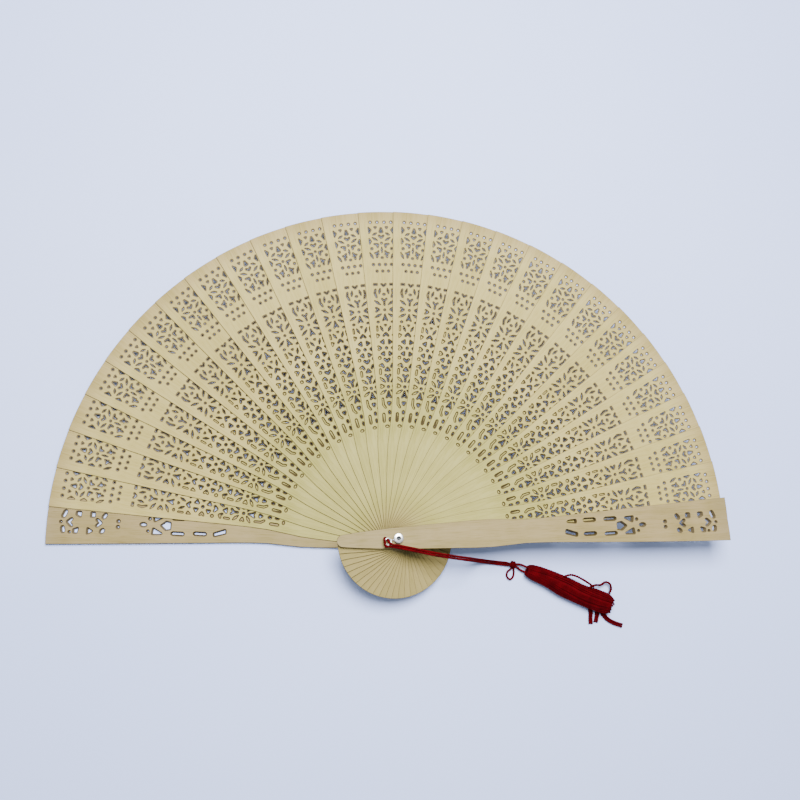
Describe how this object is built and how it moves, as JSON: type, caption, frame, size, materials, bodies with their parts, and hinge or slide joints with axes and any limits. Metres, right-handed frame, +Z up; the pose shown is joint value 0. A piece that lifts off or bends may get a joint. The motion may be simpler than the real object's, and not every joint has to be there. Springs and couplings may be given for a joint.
{
  "type": "hand fan",
  "caption": "Pierced wooden folding fan, open: thin leaves between two guards on one rivet, with a wire ring, red cord and tassel.",
  "frame": {"origin": "on the rivet's axis, at the flat rear face that the fan lies on", "axes": "+X towards the open front guard's side, +Y towards the middle leaves' tips, +Z up out of the front guard's face"},
  "size_m": [0.34, 0.2158, 0.0233],
  "materials": {
    "guard_wood": "pale pinkish beige wood, finely grained, sanded and unvarnished",
    "leaf_wood": "pale yellowish cream wood veneer, satin",
    "bright_metal": "bright nickel-plated metal",
    "red_cord": "dark crimson twisted cord with a soft sheen",
    "red_thread": "dark crimson silky thread"
  },
  "bodies": {
    "rear_guard": {"rear_guard": "guard_wood", "rivet": "bright_metal"},
    "leaf_01": {"leaf_01": "leaf_wood"},
    "leaf_02": {"leaf_02": "leaf_wood"},
    "leaf_03": {"leaf_03": "leaf_wood"},
    "leaf_04": {"leaf_04": "leaf_wood"},
    "leaf_05": {"leaf_05": "leaf_wood"},
    "leaf_06": {"leaf_06": "leaf_wood"},
    "leaf_07": {"leaf_07": "leaf_wood"},
    "leaf_08": {"leaf_08": "leaf_wood"},
    "leaf_09": {"leaf_09": "leaf_wood"},
    "leaf_10": {"leaf_10": "leaf_wood"},
    "leaf_11": {"leaf_11": "leaf_wood"},
    "leaf_12": {"leaf_12": "leaf_wood"},
    "leaf_13": {"leaf_13": "leaf_wood"},
    "leaf_14": {"leaf_14": "leaf_wood"},
    "leaf_15": {"leaf_15": "leaf_wood"},
    "leaf_16": {"leaf_16": "leaf_wood"},
    "leaf_17": {"leaf_17": "leaf_wood"},
    "leaf_18": {"leaf_18": "leaf_wood"},
    "leaf_19": {"leaf_19": "leaf_wood"},
    "leaf_20": {"leaf_20": "leaf_wood"},
    "leaf_21": {"leaf_21": "leaf_wood"},
    "leaf_22": {"leaf_22": "leaf_wood"},
    "leaf_23": {"leaf_23": "leaf_wood"},
    "leaf_24": {"leaf_24": "leaf_wood"},
    "leaf_25": {"leaf_25": "leaf_wood"},
    "leaf_26": {"leaf_26": "leaf_wood"},
    "front_guard": {"front_guard": "guard_wood"},
    "tassel_ring": {"tassel_ring": "bright_metal", "cord_loop": "red_cord", "cord_upper": "red_cord", "cord_lower": "red_cord", "knot": "red_cord", "knot_loop": "red_cord", "link_upper": "red_cord", "link_lower": "red_cord", "tassel": "red_thread", "tail_left": "red_thread", "tail_middle": "red_thread", "tail_right": "red_thread"}
  },
  "joints": [
    {"name": "fan_opening", "type": "hinge", "parent": "rear_guard", "child": "front_guard", "pos_m": [0, 0, 0], "axis": [0, 0, 1], "range_deg": [0, 174]},
    {"name": "leaf_01_turn", "type": "hinge", "parent": "rear_guard", "child": "leaf_01", "pos_m": [0, 0, 0], "axis": [0, 0, 1], "range_deg": [0, 6.45]},
    {"name": "leaf_02_turn", "type": "hinge", "parent": "rear_guard", "child": "leaf_02", "pos_m": [0, 0, 0], "axis": [0, 0, 1], "range_deg": [0, 12.9]},
    {"name": "leaf_03_turn", "type": "hinge", "parent": "rear_guard", "child": "leaf_03", "pos_m": [0, 0, 0], "axis": [0, 0, 1], "range_deg": [0, 19.34]},
    {"name": "leaf_04_turn", "type": "hinge", "parent": "rear_guard", "child": "leaf_04", "pos_m": [0, 0, 0], "axis": [0, 0, 1], "range_deg": [0, 25.79]},
    {"name": "leaf_05_turn", "type": "hinge", "parent": "rear_guard", "child": "leaf_05", "pos_m": [0, 0, 0], "axis": [0, 0, 1], "range_deg": [0, 32.23]},
    {"name": "leaf_06_turn", "type": "hinge", "parent": "rear_guard", "child": "leaf_06", "pos_m": [0, 0, 0], "axis": [0, 0, 1], "range_deg": [0, 38.68]},
    {"name": "leaf_07_turn", "type": "hinge", "parent": "rear_guard", "child": "leaf_07", "pos_m": [0, 0, 0], "axis": [0, 0, 1], "range_deg": [0, 45.12]},
    {"name": "leaf_08_turn", "type": "hinge", "parent": "rear_guard", "child": "leaf_08", "pos_m": [0, 0, 0], "axis": [0, 0, 1], "range_deg": [0, 51.57]},
    {"name": "leaf_09_turn", "type": "hinge", "parent": "rear_guard", "child": "leaf_09", "pos_m": [0, 0, 0], "axis": [0, 0, 1], "range_deg": [0, 58.01]},
    {"name": "leaf_10_turn", "type": "hinge", "parent": "rear_guard", "child": "leaf_10", "pos_m": [0, 0, 0], "axis": [0, 0, 1], "range_deg": [0, 64.45]},
    {"name": "leaf_11_turn", "type": "hinge", "parent": "rear_guard", "child": "leaf_11", "pos_m": [0, 0, 0], "axis": [0, 0, 1], "range_deg": [0, 70.9]},
    {"name": "leaf_12_turn", "type": "hinge", "parent": "rear_guard", "child": "leaf_12", "pos_m": [0, 0, 0], "axis": [0, 0, 1], "range_deg": [0, 77.34]},
    {"name": "leaf_13_turn", "type": "hinge", "parent": "rear_guard", "child": "leaf_13", "pos_m": [0, 0, 0], "axis": [0, 0, 1], "range_deg": [0, 83.79]},
    {"name": "leaf_14_turn", "type": "hinge", "parent": "rear_guard", "child": "leaf_14", "pos_m": [0, 0, 0], "axis": [0, 0, 1], "range_deg": [0, 90.23]},
    {"name": "leaf_15_turn", "type": "hinge", "parent": "rear_guard", "child": "leaf_15", "pos_m": [0, 0, 0], "axis": [0, 0, 1], "range_deg": [0, 96.68]},
    {"name": "leaf_16_turn", "type": "hinge", "parent": "rear_guard", "child": "leaf_16", "pos_m": [0, 0, 0], "axis": [0, 0, 1], "range_deg": [0, 103.12]},
    {"name": "leaf_17_turn", "type": "hinge", "parent": "rear_guard", "child": "leaf_17", "pos_m": [0, 0, 0], "axis": [0, 0, 1], "range_deg": [0, 109.57]},
    {"name": "leaf_18_turn", "type": "hinge", "parent": "rear_guard", "child": "leaf_18", "pos_m": [0, 0, 0], "axis": [0, 0, 1], "range_deg": [0, 116.01]},
    {"name": "leaf_19_turn", "type": "hinge", "parent": "rear_guard", "child": "leaf_19", "pos_m": [0, 0, 0], "axis": [0, 0, 1], "range_deg": [0, 122.45]},
    {"name": "leaf_20_turn", "type": "hinge", "parent": "rear_guard", "child": "leaf_20", "pos_m": [0, 0, 0], "axis": [0, 0, 1], "range_deg": [0, 128.9]},
    {"name": "leaf_21_turn", "type": "hinge", "parent": "rear_guard", "child": "leaf_21", "pos_m": [0, 0, 0], "axis": [0, 0, 1], "range_deg": [0, 135.34]},
    {"name": "leaf_22_turn", "type": "hinge", "parent": "rear_guard", "child": "leaf_22", "pos_m": [0, 0, 0], "axis": [0, 0, 1], "range_deg": [0, 141.79]},
    {"name": "leaf_23_turn", "type": "hinge", "parent": "rear_guard", "child": "leaf_23", "pos_m": [0, 0, 0], "axis": [0, 0, 1], "range_deg": [0, 148.23]},
    {"name": "leaf_24_turn", "type": "hinge", "parent": "rear_guard", "child": "leaf_24", "pos_m": [0, 0, 0], "axis": [0, 0, 1], "range_deg": [0, 154.68]},
    {"name": "leaf_25_turn", "type": "hinge", "parent": "rear_guard", "child": "leaf_25", "pos_m": [0, 0, 0], "axis": [0, 0, 1], "range_deg": [0, 161.12]},
    {"name": "leaf_26_turn", "type": "hinge", "parent": "rear_guard", "child": "leaf_26", "pos_m": [0, 0, 0], "axis": [0, 0, 1], "range_deg": [0, 167.57]},
    {"name": "tassel_swing", "type": "hinge", "parent": "rear_guard", "child": "tassel_ring", "pos_m": [0, 0, 0], "axis": [0, 0, 1], "range_deg": [-150, 0]}
  ],
  "couplings": [
    {"joint": "leaf_01_turn", "follows": "fan_opening", "ratio": 0.037037},
    {"joint": "leaf_02_turn", "follows": "fan_opening", "ratio": 0.074074},
    {"joint": "leaf_03_turn", "follows": "fan_opening", "ratio": 0.11111},
    {"joint": "leaf_04_turn", "follows": "fan_opening", "ratio": 0.14815},
    {"joint": "leaf_05_turn", "follows": "fan_opening", "ratio": 0.18519},
    {"joint": "leaf_06_turn", "follows": "fan_opening", "ratio": 0.22222},
    {"joint": "leaf_07_turn", "follows": "fan_opening", "ratio": 0.25926},
    {"joint": "leaf_08_turn", "follows": "fan_opening", "ratio": 0.2963},
    {"joint": "leaf_09_turn", "follows": "fan_opening", "ratio": 0.33333},
    {"joint": "leaf_10_turn", "follows": "fan_opening", "ratio": 0.37037},
    {"joint": "leaf_11_turn", "follows": "fan_opening", "ratio": 0.40741},
    {"joint": "leaf_12_turn", "follows": "fan_opening", "ratio": 0.44444},
    {"joint": "leaf_13_turn", "follows": "fan_opening", "ratio": 0.48148},
    {"joint": "leaf_14_turn", "follows": "fan_opening", "ratio": 0.51852},
    {"joint": "leaf_15_turn", "follows": "fan_opening", "ratio": 0.55556},
    {"joint": "leaf_16_turn", "follows": "fan_opening", "ratio": 0.59259},
    {"joint": "leaf_17_turn", "follows": "fan_opening", "ratio": 0.62963},
    {"joint": "leaf_18_turn", "follows": "fan_opening", "ratio": 0.66667},
    {"joint": "leaf_19_turn", "follows": "fan_opening", "ratio": 0.7037},
    {"joint": "leaf_20_turn", "follows": "fan_opening", "ratio": 0.74074},
    {"joint": "leaf_21_turn", "follows": "fan_opening", "ratio": 0.77778},
    {"joint": "leaf_22_turn", "follows": "fan_opening", "ratio": 0.81481},
    {"joint": "leaf_23_turn", "follows": "fan_opening", "ratio": 0.85185},
    {"joint": "leaf_24_turn", "follows": "fan_opening", "ratio": 0.88889},
    {"joint": "leaf_25_turn", "follows": "fan_opening", "ratio": 0.92593},
    {"joint": "leaf_26_turn", "follows": "fan_opening", "ratio": 0.96296}
  ]
}
